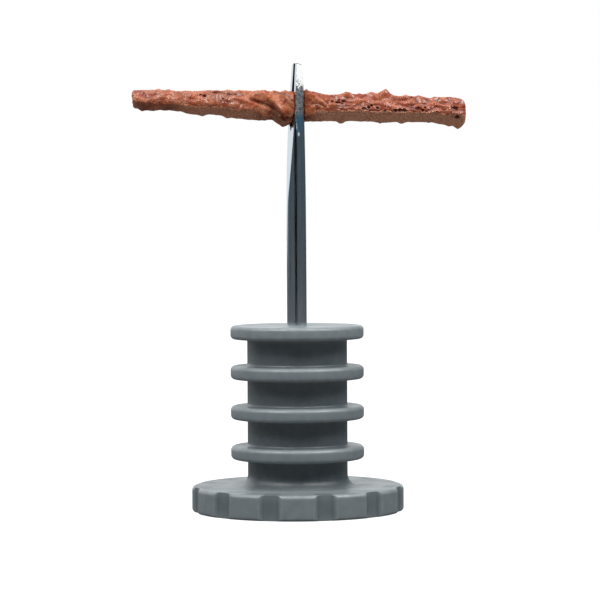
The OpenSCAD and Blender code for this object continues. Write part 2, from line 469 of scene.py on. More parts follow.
@dataclass(frozen=True)
class PlatedSteel:
    """Bright plating over drawn rod, speckled where the bevels were ground and white at their ends.
    Painted shade darkens the eye's inner walls, and a painted highlight line runs along the bevels.
    """

    colour: tuple = (0.61, 0.66, 0.70, 1.0)
    blue: tuple = (0.42, 0.72, 0.92, 1.0)
    ground: tuple = (0.50, 0.50, 0.51, 1.0)
    speck: tuple = (0.14, 0.15, 0.16, 1.0)
    # white: the ground ends of the bevels, and the painted highlight line
    white: tuple = (0.95, 0.95, 0.94, 1.0)
    # slot: near-black painted shade for the eye's inner walls
    slot: tuple = (0.012, 0.008, 0.008, 1.0)
    draw_lines_per_m: float = 9000.0
    draw_lines_stretch: tuple = (1.0, 1.0, 0.02)
    specks_per_m: float = 7000.0
    speckle_per_m: float = 4200.0
    highlight_line_strength: float = 0.8
    rough_low: float = 0.08
    rough_high: float = 0.23
    ground_roughness: float = 0.42
    grain_strength: float = 0.6
    grain_depth_m: float = 0.000006

    def build(self) -> bpy.types.Material:
        """Metal whose colour, roughness and normal follow draw lines, specks and the piece's own masks.

        Returns:
            The material.
        """
        material, n, shader = new_material("needle_steel")
        place = n.place()
        ground, slot = n.attribute("ground"), n.attribute("slot")
        stretched = n.add("ShaderNodeMapping", {"Vector": place, "Scale": self.draw_lines_stretch}).outputs[0]
        lines = n.noise(stretched, self.draw_lines_per_m, detail=3.0, roughness=0.6)
        specks = n.noise(place, self.specks_per_m, detail=4.0, roughness=0.7)
        speckle = n.noise(place, self.speckle_per_m, detail=3.0, roughness=0.7)
        base = n.mix(n.span(specks, 0.3, 0.7, 0.0, 0.35), self.colour, self.ground)
        base = n.mix(n.attribute("bevel"), base, self.blue)
        base = n.mix(ground, base, n.mix(n.span(speckle, 0.42, 0.58), self.speck, self.ground))
        broken = n.math("MULTIPLY", n.math("SUBTRACT", speckle, 0.5), 1.5)
        cover = n.math("ADD", n.attribute("white"), broken)
        white = n.math("MULTIPLY", n.span(cover, 0.4, 0.55), ground)
        # painted highlight: a pale line along the bevels' left borders, joined with the ground white ends
        pale = n.math("MAXIMUM", white, n.math("MULTIPLY", n.attribute("highlight_line"), self.highlight_line_strength))
        # the eye's inner walls are painted near black as shade
        base = n.mix(slot, n.mix(pale, base, self.white), self.slot)
        plain = n.span(lines, 0.3, 0.8, self.rough_low, self.rough_high)
        worked = n.math("MAXIMUM", n.math("MAXIMUM", ground, pale), slot)
        rough = n.math("ADD", n.math("MULTIPLY", plain, n.math("SUBTRACT", 1.0, worked)),
                       n.math("MULTIPLY", worked, self.ground_roughness))
        height = n.math("ADD", n.math("MULTIPLY", lines, 0.5),
                        n.math("MULTIPLY", specks, n.span(ground, 0.0, 1.0, 0.3, 4.0)))
        bump = n.add("ShaderNodeBump", {"Height": height, "Strength": self.grain_strength,
                                        "Distance": self.grain_depth_m})
        n.feed(shader, {"Base Color": base, "Roughness": rough, "Normal": bump.outputs[0],
                        "Metallic": n.math("SUBTRACT", 1.0, n.math("MAXIMUM", pale, slot)),
                        "Specular IOR Level": n.math("SUBTRACT", 0.5, n.math("MULTIPLY", slot, 0.4))})
        return material


@dataclass(frozen=True)
class PlugRubber:
    """Sticky brown-orange rubber: wet and lumpy on its skin, dull and grey-brown where it was cut."""

    colour: tuple = linear(139, 62, 36)
    # painted highlight tint for the crests
    crest_highlight_colour: tuple = linear(163, 94, 64)
    ochre: tuple = linear(186, 126, 80)
    # deep: painted shade in the grooves, and the darker crumbs
    deep: tuple = linear(90, 33, 19)
    cut: tuple = linear(208, 149, 119)
    # pit: painted shade inside the pits and pores
    pit: tuple = linear(92, 40, 30)
    clouds_per_m: float = 700.0
    streaks_per_m: float = 1500.0
    streak_share: float = 0.6
    crumbs_per_m: float = 4200.0
    grain_per_m: float = 2600.0
    fine_share: float = 0.5
    ripples_per_m: float = 1100.0
    ripple_height: float = 0.7
    grain_strength: float = 0.7
    grain_depth_m: float = 0.00008
    dry_roughness: float = 0.66
    wet_roughness: float = 0.4
    coat: float = 0.75
    coat_roughness: float = 0.05
    specular: float = 0.06

    def build(self) -> bpy.types.Material:
        """Colour with painted highlight on crests and painted shade in grooves and pits, cut faces, a wet
        coat where the skin is glossy, and crumbly grain.

        Returns:
            The material.
        """
        material, n, shader = new_material("plug_rubber")
        place = n.place()
        relief, gloss = n.attribute("relief"), n.attribute("gloss")
        clouds = n.span(n.noise(place, self.clouds_per_m, detail=4.0, roughness=0.6), 0.4, 0.62)
        streaks = n.span(n.noise(place, self.streaks_per_m, detail=3.0, roughness=0.6), 0.5, 0.68)
        crumbs = n.span(n.noise(place, self.crumbs_per_m, detail=3.0, roughness=0.6), 0.34, 0.66)
        # painted highlight on the crests, from the relief
        crest_highlight = n.math("MULTIPLY", clouds, n.span(relief, -0.3, 0.9, 0.2, 0.75))
        strands = n.math("MULTIPLY", streaks, n.math("MULTIPLY", n.attribute("fibre"), self.streak_share))
        dusty = n.math("MULTIPLY", n.attribute("dust"), n.span(crumbs, 0.0, 1.0, 0.6, 0.95))
        # painted shade: darker down in the grooves, from the relief
        base = n.mix(n.span(relief, -0.9, 0.45), self.deep, self.colour)
        # painted shade in the pits and pores, beside the crest highlight, fibre streaks, dust and darker
        # crumbs
        for share, tint in ((crest_highlight, self.crest_highlight_colour), (strands, self.ochre), (dusty, self.cut),
                            (n.span(crumbs, 0.0, 0.45, 0.4, 0.0), self.deep), (n.attribute("pit"), self.pit)):
            base = n.mix(share, base, tint)
        dull = n.math("SUBTRACT", 1.0, n.math("MULTIPLY", gloss, 0.96))
        grain = n.grain(place, self.grain_per_m, self.fine_share)
        ripple = n.math("MULTIPLY", n.noise(place, self.ripples_per_m, detail=0.0), self.ripple_height)
        height = n.math("ADD", n.math("MULTIPLY", grain, dull), n.math("MULTIPLY", ripple, gloss))
        bump = n.add("ShaderNodeBump", {"Height": height, "Strength": self.grain_strength,
                                        "Distance": self.grain_depth_m})
        smoother = n.math("MULTIPLY", gloss, self.dry_roughness - self.wet_roughness)
        n.feed(shader, {"Base Color": base, "Roughness": n.math("SUBTRACT", self.dry_roughness, smoother),
                        "Coat Weight": n.math("MULTIPLY", gloss, self.coat), "Normal": bump.outputs[0],
                        "Coat Roughness": self.coat_roughness, "Specular IOR Level": self.specular})
        return material


# ---------------------------------------------------------------- the handle

@dataclass
class Handle:
    """Moulded handle: a core with grip ribs, and a flange with finger notches around its edge."""

    finish: MouldedPlastic = MouldedPlastic()
    core_r: float = 7.5
    rib_r: float = 10.0
    rib_t: float = 2.0
    rib_gap: float = 4.0
    rib_count: int = 4
    rib_round: float = 0.6
    rib_fillet: float = 0.4
    flange_t: float = 3.8
    flange_top_round: float = 0.6
    flange_bottom_round: float = 0.5
    flange_fillet: float = 1.6
    notch_count: int = 12
    notch_edge_half: float = 1.75
    notch_floor_half: float = 0.95
    notch_depth: float = 0.55
    notch_round: float = 0.22
    notch_ease: float = 0.6
    gate_r: float = 2.0
    gate_depth: float = 0.3
    gate_round: float = 0.2
    point_spacing: float = 0.5
    arc_steps: int = 7
    floor_columns: int = 3
    side_columns: int = 10
    lobe_columns: int = 3
    sharp_turn: float = 0.12

    def corners(self) -> tuple[np.ndarray, np.ndarray]:
        """Outline of the handle, from the top's centre down to the outer face's centre.

        Returns:
            The (radius, height) corners, and the rounding radius of each corner between the ends.
        """
        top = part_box("handle")[1].z / MM
        flange_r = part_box("handle")[1].x / MM
        points, radii = [(0.0, top)], []
        pitch = self.rib_t + self.rib_gap
        for rib in range(self.rib_count):
            upper = top - rib * pitch
            lower = upper - self.rib_t
            if rib:
                points.append((self.core_r, upper))
                radii.append(self.rib_fillet)
            points += [(self.rib_r, upper), (self.rib_r, lower), (self.core_r, lower)]
            radii += [self.rib_round, self.rib_round, self.rib_fillet]
        points += [(self.core_r, self.flange_t), (flange_r, self.flange_t), (flange_r, 0.0),
                   (self.gate_r, 0.0), (0.0, self.gate_depth)]
        radii += [self.flange_fillet, self.flange_top_round, self.flange_bottom_round, self.gate_round]
        return np.array(points), np.array(radii)

    def angles(self, flange_r: float) -> np.ndarray:
        """Angles of the columns, closer together on the sides of the notches than elsewhere.

        Args:
            flange_r: the flange's radius.

        Returns:
            The angles of all the columns, from the first notch's middle onwards.
        """
        pitch = 2 * np.pi / self.notch_count
        side_from, side_to = self.notch_floor_half - 0.15, self.notch_edge_half + 0.2
        floor = np.linspace(0, side_from, self.floor_columns, endpoint=False)
        side = np.linspace(side_from, side_to, self.side_columns, endpoint=False)
        lobe = np.linspace(side_to, pitch / 2 * flange_r, self.lobe_columns)
        right = np.concatenate([floor, side, lobe]) / flange_r
        one = np.concatenate([right, pitch - right[-2:0:-1]])
        return (one[None] + (np.arange(self.notch_count)[:, None] + 0.5) * pitch).ravel()

    def notch_share(self, angle: np.ndarray, flange_r: float) -> np.ndarray:
        """How deep in a notch each column is, easing partly by 3t^2 - 2t^3 down to the floor.

        Args:
            angle: the columns' angles.
            flange_r: the flange's radius.

        Returns:
            1 on a notch's floor, 0 at its edge, and down to -1 on the lobe beside it.
        """
        pitch = 2 * np.pi / self.notch_count
        from_notch = np.abs((angle / pitch) % 1 - 0.5) * pitch * flange_r
        side = self.notch_edge_half - self.notch_floor_half
        ramp = np.clip((self.notch_edge_half - from_notch) / side, -1, 1)
        eased_ramp = (1 - self.notch_ease) * ramp + self.notch_ease * ramp * ramp * (3 - 2 * ramp)
        return np.where(ramp > 0, eased_ramp, ramp)

    def surface(self) -> Surface:
        """The outline turned about Z, with the notches cut straight down through the flange's edge.

        At angle a the cut stands at the radius C(a), which is the flange's own on the lobes and less by the
        notch's depth on its floor. The surface's radius is the smooth minimum of the outline's r and C(a):
        min(r, C) - h^2 / (4 k), where h = max(k - |r - C|, 0) and k is how far the edge is rounded.

        Returns:
            The handle, with its painted highlight and painted shade masks.
        """
        corners, radii = self.corners()
        flange_r = corners[:, 0].max()
        path = filled_path(rounded_path(corners, radii, self.arc_steps), self.point_spacing)[1:-1]
        r, z = path[:, :1], path[:, 1:]
        angle = self.angles(flange_r)
        notch = self.notch_share(angle, flange_r)
        cut = flange_r - self.notch_depth * notch[None]
        overlap = np.maximum(self.notch_round - np.abs(r - cut), 0)
        radius = np.minimum(r, cut) - overlap ** 2 / (4 * self.notch_round)
        points = np.stack([radius * np.cos(angle), radius * np.sin(angle),
                           np.broadcast_to(z, radius.shape)], -1).reshape(-1, 3)
        count, (rows, columns) = len(points), radius.shape
        points = np.concatenate([points, [[0, 0, corners[0, 1]], [0, 0, self.gate_depth]]])
        first, last = np.arange(columns)[::-1], np.arange(count - columns, count)
        faces = [ring_faces(rows, columns), pole_faces(first, count), pole_faces(last, count + 1)]
        return Surface(points, faces, self.painted_light(path, notch))

    def painted_light(self, path: np.ndarray, notch: np.ndarray) -> dict[str, np.ndarray]:
        """Where painted highlight makes the moulding paler, and where painted shade makes it darker.

        Rounded edges that stand out get the most painted highlight, then the ribs' and the flange's faces.
        Painted shade lies deep between the ribs, on the flange's upper face and in the notches. The top is
        painted pale.

        Args:
            path: (n, 2) points of the outline.
            notch: how deep in a notch each column is.

        Returns:
            The painted highlight and painted shade masks, each from 0 to 1, with a value of 0 for both poles.
        """
        r, z = path[:, 0], path[:, 1]
        step = np.diff(path, axis=0)
        turn = wrapped(np.diff(np.arctan2(step[:, 1], step[:, 0])))
        convex = np.clip(-np.concatenate([[0], turn, [0]]) / self.sharp_turn, 0, 1)
        edge = np.convolve(convex, np.ones(3) / 3, "same")
        face = smooth_step(self.rib_r - 0.5, self.rib_r - 0.1, r)
        flange = (r > self.rib_r + 3).astype(float)
        # painted highlight on convex edges and rib faces, then on the flange's lobes, less on the notches'
        # floors
        rib_highlight = np.maximum(edge, 0.55 * face * (1 - flange))[:, None]
        lobe_highlight = smooth_step(0.6, 0.0, notch)[None] * flange[:, None]
        lobe_edge = np.exp(-((notch + 0.05) / 0.16) ** 2)
        flange_highlight = np.maximum(0.6 * lobe_highlight * face[:, None], flange[:, None] * lobe_edge[None])
        in_notch = 0.35 + 0.65 * smooth_step(0.7, 0.1, notch)[None]
        highlight = np.maximum(rib_highlight, flange_highlight) * np.where(flange[:, None] > 0, in_notch, 1)
        # painted shade between the ribs, strongest low down, on the flange's top and in the notches' corners
        between = smooth_step(self.rib_r - 1.2, self.core_r + 0.2, r)
        between *= eased(z, ((self.flange_t, 1.0), (10, 0.8), (27, 0.5)))
        upper = 0.8 * smooth_step(self.flange_t - 0.3, self.flange_t - 0.05, z) * flange
        corner = 0.3 * smooth_step(0.4, 0.9, notch) + 0.65 * np.exp(-((notch - 0.86) / 0.1) ** 2)
        in_notches = flange[:, None] * corner[None] * face[:, None]
        painted_shade = np.maximum(np.maximum(between, upper)[:, None], in_notches)
        # the top gets full painted highlight and no painted shade
        top = (z > z.max() - 0.05)[:, None]
        highlight, painted_shade = np.where(top, 1.0, highlight), np.where(top, 0.0, painted_shade)
        return {"painted_light": np.append(highlight.ravel(), [0, 0]), "painted_shade": np.append(painted_shade.ravel(), [0, 0])}

    def build(self) -> None:
        """Makes the handle and puts it in the CAD handle's place."""
        piece = self.surface().to_object("handle_moulding", self.finish.build(), 50)
        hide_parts("handle")
        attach(piece, "tool")


# ---------------------------------------------------------------- the needle

@dataclass
class Needle:
    """Plated rod with two long flats and two short bevels, split from its tip by an open eye."""

    finish: PlatedSteel = PlatedSteel()
    rod_r: float = 1.475
    left_flat_l: float = 20.2
    left_flat_lean: float = 3.7
    right_flat_l: float = 25.3
    right_flat_lean: float = 1.72
    bevel_l: float = 10.8
    bevel_lean: float = 2.7
    tip_dome_r: float = 1.6
    tip_over_split: float = 0.04
    eye_turn: float = 22.0
    eye_l: float = 10.3
    eye_widths: tuple = ((0.0, 0.0), (0.7, 0.34), (2.3, 0.56), (3.7, 0.6), (5.1, 0.56), (8.3, 0.37),
                         (11.0, 0.35))
    vee_steps: tuple = (0.05, 0.12, 0.2, 0.3, 0.42, 0.55)
    root_round: float = 0.3
    corner_sharpness: float = 36.0
    ground_fade: tuple = (8.6, 7.2)
    white_run: tuple = ((1.5, 1.0), (2.2, 0.72), (3.6, 0.42), (5.4, 0.0))
    highlight_line_half: float = 0.02
    highlight_line_fade: tuple = (6.5, 7.5)
    highlight_line_breaks: float = 0.35
    columns: int = 112
    wall_points: int = 14

    @property
    def tip_z(self) -> float:
        """Height that the tip would reach if it weren't split."""
        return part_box("needle")[1].z / MM + self.tip_over_split

    def half_widths(self, z: np.ndarray) -> tuple[np.ndarray, ...]:
        """Half widths of the blade. A flat or bevel leans in by its own angle from where it starts.

        Args:
            z: heights.

        Returns:
            Distances from the axis to the left flat, the right flat, the bevels and the round.
        """
        cuts = ((self.left_flat_l, self.left_flat_lean), (self.right_flat_l, self.right_flat_lean),
                (self.bevel_l, self.bevel_lean))
        shaved = [self.rod_r - (z - (self.tip_z - length)) * np.tan(np.radians(lean))
                  for length, lean in cuts]
        dome = np.clip(z - (self.tip_z - self.tip_dome_r), 0, self.tip_dome_r)
        round_r = np.minimum(self.rod_r, np.sqrt(np.maximum(self.tip_dome_r ** 2 - dome ** 2, 1e-6)))
        return (*shaved, round_r)

    def radius(self, z: np.ndarray, angle: np.ndarray) -> np.ndarray:
        """Distance from the axis to the blade's outside: the nearest of the round, the flats and the bevels.

        Each flat stands at its distance over the cosine of the angle from it, and soft_min breaks the
        edges a little where two of them meet.

        Args:
            z: heights, of shape (rings,).
            angle: angles around the axis, of shape (rings, columns).

        Returns:
            Radii, of shape (rings, columns).
        """
        left, right, bevel, round_r = (np.broadcast_to(w[:, None], angle.shape) for w in self.half_widths(z))
        near, far = 1e-3, 1e3
        cos, sin = np.cos(angle), np.abs(np.sin(angle))
        to_left = np.where(cos < -near, left / np.maximum(-cos, near), far)
        to_right = np.where(cos > near, right / np.maximum(cos, near), far)
        to_bevel = np.where(sin > near, bevel / np.maximum(sin, near), far)
        cut = soft_min([round_r, to_left, to_right, to_bevel], self.corner_sharpness)
        plain = (left > self.rod_r) & (right > self.rod_r)
        return np.where(plain, round_r, np.minimum(cut, round_r))

    def eye_half(self, z: np.ndarray) -> np.ndarray:
        """Half width of the split eye at heights z."""
        places, values = np.array(self.eye_widths, float).T
        return np.interp(z - (self.tip_z - self.eye_l), places, values)

    def wall_walk(self) -> np.ndarray:
        """Shares of the way across the eye's wall, (1 - cos t) / 2, closest together at the wall's edges."""
        return 0.5 - 0.5 * np.cos(np.pi * np.linspace(0, 1, self.wall_points + 2)[1:-1, None])

    def prong_rows(self, z: np.ndarray, side: int) -> np.ndarray:
        """Rings of one prong: its outside from one edge of the eye to the other, then the eye's wall.

        The eye's edge is where the eye's half width meets the flat or the round, whichever is nearer.

        Args:
            z: heights of the rings.
            side: -1 for the front prong and 1 for the back one.

        Returns:
            (rings, points, 3) places in the blade's own frame.
        """
        half = self.eye_half(z)
        left, right, _, round_r = self.half_widths(z)
        chord = np.sqrt(np.maximum(round_r ** 2 - half ** 2, 1e-8))
        first, second = (left, right) if side < 0 else (right, left)
        low = np.pi if side < 0 else 0.0
        start = low + np.arctan2(half, np.minimum(first, chord))
        end = low + np.pi - np.arctan2(half, np.minimum(second, chord))
        share = np.linspace(0, 1, self.columns // 2 + 1)
        angle = start[:, None] + (end - start)[:, None] * share
        outside = self.radius(z, angle)[..., None] * np.stack([np.cos(angle), np.sin(angle)], -1)
        wall = outside[:, -1:] + (outside[:, :1] - outside[:, -1:]) * self.wall_walk()
        ring = np.concatenate([outside, wall], 1)
        return np.concatenate([ring, np.broadcast_to(z[:, None, None], (*ring.shape[:2], 1))], -1)

    def rod_heights(self, root: float, vee: float) -> np.ndarray:
        """Heights of the rod's rings: far apart on the plain rod, and closer once the flats begin.

        Args:
            root: height of the rod's lower end.
            vee: height of the bottom of the eye.

        Returns:
            Rising heights, from the root to the vee.
        """
        taper = self.tip_z - self.right_flat_l
        return np.concatenate([[root, root + 0.3], np.arange(root + 2, taper - 1, 2.0),
                               np.arange(taper - 0.5, vee - 0.1, 0.22), [vee]])

    def prong_heights(self, vee: float) -> np.ndarray:
        """Heights of the prongs' rings: closest at the vee, and over the tip's dome as its sine.

        Args:
            vee: height of the bottom of the eye.

        Returns:
            Rising heights, which end just under the dome's highest point beside the split.
        """
        dome = self.tip_z - self.tip_dome_r
        peak = dome + np.sqrt(self.tip_dome_r ** 2 - self.eye_half(np.array([self.tip_z])) ** 2)
        climb = np.sin(np.linspace(0, 1, 22)[1:] * np.pi / 2)
        return np.concatenate([vee + np.array(self.vee_steps), np.arange(vee + 0.7, dome, 0.2),
                               dome + (peak - 0.004 - dome) * climb])

    def surface(self) -> Surface:
        """Rod rings up to the eye's vee, then two prongs that share the vee's crease and close at the tip.

        Returns:
            The needle with its masks, turned about Z so that its eye faces the way that it should.
        """
        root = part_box("needle")[0].z / MM
        vee = self.tip_z - self.eye_l
        half = self.columns // 2
        z = self.rod_heights(root, vee)
        angle = np.linspace(0, 2 * np.pi, self.columns, endpoint=False)
        reach = self.radius(z, np.broadcast_to(angle, (len(z), self.columns)))
        reach[0] -= self.root_round
        rod = np.stack([reach * np.cos(angle), reach * np.sin(angle),
                        np.broadcast_to(z[:, None], reach.shape)], -1)
        crease = rod[-1, 0] + (rod[-1, half] - rod[-1, 0]) * self.wall_walk()
        crease_at = len(z) * self.columns
        root_at = crease_at + len(crease)
        points = [rod.reshape(-1, 3), crease, [[0, 0, root]]]
        slot = [np.zeros(crease_at), np.ones(len(crease)), [0]]
        faces = [ring_faces(len(z), self.columns), pole_faces(np.arange(self.columns)[::-1], root_at)]
        rise = self.prong_heights(vee)
        at = root_at + 1
        for side in (-1, 1):
            ring = self.prong_rows(rise, side)
            count = ring.shape[1]
            around = np.arange(half + 1) + (half if side < 0 else 0)
            outside = crease_at - self.columns + around % self.columns
            inside = crease_at + np.arange(len(crease))[::-side]
            below = np.concatenate([outside, inside])
            above = at + np.arange(count)
            top, pole = above + (len(rise) - 1) * count, at + len(rise) * count
            faces += [np.stack([below, np.roll(below, -1), np.roll(above, -1), above], -1),
                      ring_faces(len(rise), count, at), pole_faces(top, pole)]
            points += [ring.reshape(-1, 3), ring[-1].mean(0, keepdims=True)]
            # the eye's wall points get the slot mask, which paints them with shade
            slot += [np.tile(np.arange(count) > half, len(rise)), [0]]
            at = pole + 1
        blade = np.concatenate([np.asarray(p, float) for p in points])
        turn = np.radians(self.eye_turn)
        spin = np.array([[np.cos(turn), np.sin(turn), 0], [-np.sin(turn), np.cos(turn), 0], [0, 0, 1]])
        return Surface(blade @ spin, faces, {**self.masks(blade), "slot": np.concatenate(slot)})

    def masks(self, blade: np.ndarray) -> dict[str, np.ndarray]:
        """Where the steel is bevelled, ground rough and ground white, and where a highlight line is painted.

        The bevels are white at their ends, then speckled, then rough, and plain again where they run out. A
        broken painted highlight line follows their left borders with the round of the rod.

        Args:
            blade: (n, 3) places in the blade's own frame.

        Returns:
            The bevel, ground, white and painted highlight line masks, each from 0 to 1.
        """
        _, _, bevel, round_r = self.half_widths(blade[:, 2])
        below = self.tip_z - blade[:, 2]
        on_bevel = (smooth_step(0.08, 0.02, bevel - np.abs(blade[:, 1]))
                    * smooth_step(self.bevel_l, self.bevel_l - 0.3, below))
        ground = on_bevel * smooth_step(*self.ground_fade, below)
        white = on_bevel * eased(below, self.white_run)
        angle = np.arctan2(blade[:, 1], blade[:, 0])
        to_bevel = bevel / np.maximum(np.abs(np.sin(angle)), 1e-3)
        # painted highlight line along the bevels' left borders
        border = (np.exp(-((round_r - to_bevel) / self.highlight_line_half) ** 2)
                  * smooth_step(self.bevel_l + 0.3, self.bevel_l, below))
        highlight_line = border * (np.cos(angle) * np.sin(angle) > 0) * smooth_step(*self.highlight_line_fade, below)
        highlight_line = highlight_line * smooth_step(-0.3, 0.3, gradient_noise(blade / self.highlight_line_breaks, 5))
        return {"bevel": on_bevel, "ground": ground, "white": white, "highlight_line": highlight_line}

    def build(self) -> None:
        """Makes the needle and puts it in the CAD needle's place."""
        piece = self.surface().to_object("needle_rod", self.finish.build(), 32)
        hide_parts("needle")
        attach(piece, "tool")


# ---------------------------------------------------------------- the plug strip

class Side(Enum):
    """The two arms of the strip, by the sign of their direction along X."""

    LEFT = -1
    RIGHT = 1


@dataclass(frozen=True)
class ArmShape:
    """What differs between the strip's arms. Places are distances from the needle along the arm.

    heights, depths, rises, turns, squareness and wet are (place, value) runs. A nib or pit is a (place,
    angle, size). A fold is a (place, angle, place, angle, width, height) line, and a groove where its
    height is below zero.
    """

    nodes: tuple
    body: str
    heights: tuple
    depths: tuple
    rises: tuple
    turns: tuple
    squareness: tuple
    lump: float
    blob: float
    small_blob: float
    fibre: float
    fibre_reach: float
    pit_level: float
    dust: float
    nibs: tuple
    pits: tuple
    folds: tuple
    end_round: float
    end_slant: float
    wet: tuple
    seed: int


LEFT_ARM = ArmShape(
    nodes=("strip_left",), body="strip_arm_left",
    heights=((0, 4.6), (1.8, 5.0), (2.6, 4.75), (3.8, 4.45), (6.5, 4.35), (8.6, 4.2), (10.5, 3.75),
             (14.3, 3.6), (16.3, 3.4), (17.3, 3.0), (22, 3.05), (24.7, 2.85)),
    depths=((0, 4.2), (1.6, 4.5), (5.5, 4.1), (12, 3.7), (24.7, 3.1)),
    rises=((0, 0.1), (2.2, -0.2), (3.8, 0.1), (6.4, 0), (8.6, 0.08), (11.6, 0.26), (14.6, 0.08),
           (17.6, 0.28), (24.7, 0.25)),
    turns=((-1.5, 232), (6.5, 64), (24.7, 60)),
    squareness=((0, 4.2), (6, 4.0), (12, 2.8), (24.7, 3.2)),
    lump=0.13, blob=0.2, small_blob=0.4, fibre=0.1, fibre_reach=9.0, pit_level=0.95, dust=0.36,
    nibs=((2.0, 284, 0.3), (3.4, 95, 0.12), (8.4, 96, 0.1), (10.2, 95, 0.2), (10.3, 282, 0.24),
          (14.0, 282, 0.2), (19.1, 97, 0.14), (20.6, 94, 0.2), (23.2, 280, 0.22)),
    pits=((10.9, 158, 0.1), (13.7, 146, 0.2), (14.2, 138, 0.14), (21.9, 184, 0.1)),
    folds=((5.9, 128, 0.2, 212, 0.5, 0.32), (6.6, 150, 0.2, 238, 0.28, -0.36),
           (9.0, 152, 3.0, 206, 0.4, 0.16), (3.2, 100, 0.2, 160, 0.3, -0.2),
           (12.8, 118, 9.0, 126, 0.22, -0.16)),
    end_round=0.5, end_slant=0.1, wet=((0, 0.55), (7, 0.45), (10, 0.8), (24.7, 0.75)), seed=11)

RIGHT_ARM = ArmShape(
    nodes=("strip_right", "strip_middle"), body="strip_arm_right",
    heights=((0, 4.5), (1.9, 4.6), (4.9, 3.95), (7.5, 4.0), (10, 4.0), (13, 4.15), (16, 3.9), (20, 3.7),
             (22, 4.1), (25.4, 4.3)),
    depths=((0, 4.2), (1.6, 4.6), (6, 4.3), (25.4, 4.4)),
    rises=((0, 0.1), (1.9, 0.2), (4.9, 0.05), (9, 0.26), (16, 0.28), (21, 0.28), (25.4, 0.1)),
    turns=((0, 70), (5, 59), (25.4, 57)),
    squareness=((0, 2.8), (3, 4.2), (25.4, 5.0)),
    lump=0.08, blob=0.46, small_blob=0.16, fibre=0.12, fibre_reach=7.0, pit_level=0.68, dust=0.12,
    nibs=((1.5, 98, 0.14), (6.8, 282, 0.3), (7.7, 100, 0.28), (11.3, 101, 0.36), (13.3, 101, 0.5),
          (15.7, 282, 0.16), (16.4, 100, 0.16), (18.4, 101, 0.16), (22.9, 282, 0.16), (24.4, 278, 0.26)),
    pits=((5.5, 148, 0.14), (6.2, 152, 0.2), (6.5, 139, 0.14), (7.1, 146, 0.2), (10.2, 188, 0.2),
          (10.9, 180, 0.16), (11.3, 170, 0.14), (12.2, 180, 0.2), (12.4, 96, 0.2), (14.9, 190, 0.2),
          (15.5, 189, 0.24), (16.2, 189, 0.24), (18.3, 178, 0.28), (18.9, 186, 0.2), (19.3, 172, 0.16),
          (23.7, 166, 0.36), (24.1, 204, 0.3)),
    folds=((0.3, 150, 2.6, 198, 0.3, 0.2), (1.3, 138, 3.6, 186, 0.26, -0.2),
           (2.2, 130, 4.6, 172, 0.3, 0.22), (0.2, 118, 2.2, 112, 0.3, -0.24),
           (12.6, 128, 14.6, 168, 0.9, 0.2), (8.0, 150, 11.0, 140, 0.6, 0.16)),
    end_round=1.15, end_slant=-0.1, wet=((0, 0.4), (3, 0.5), (7, 1.0), (25.4, 1.0)), seed=29)


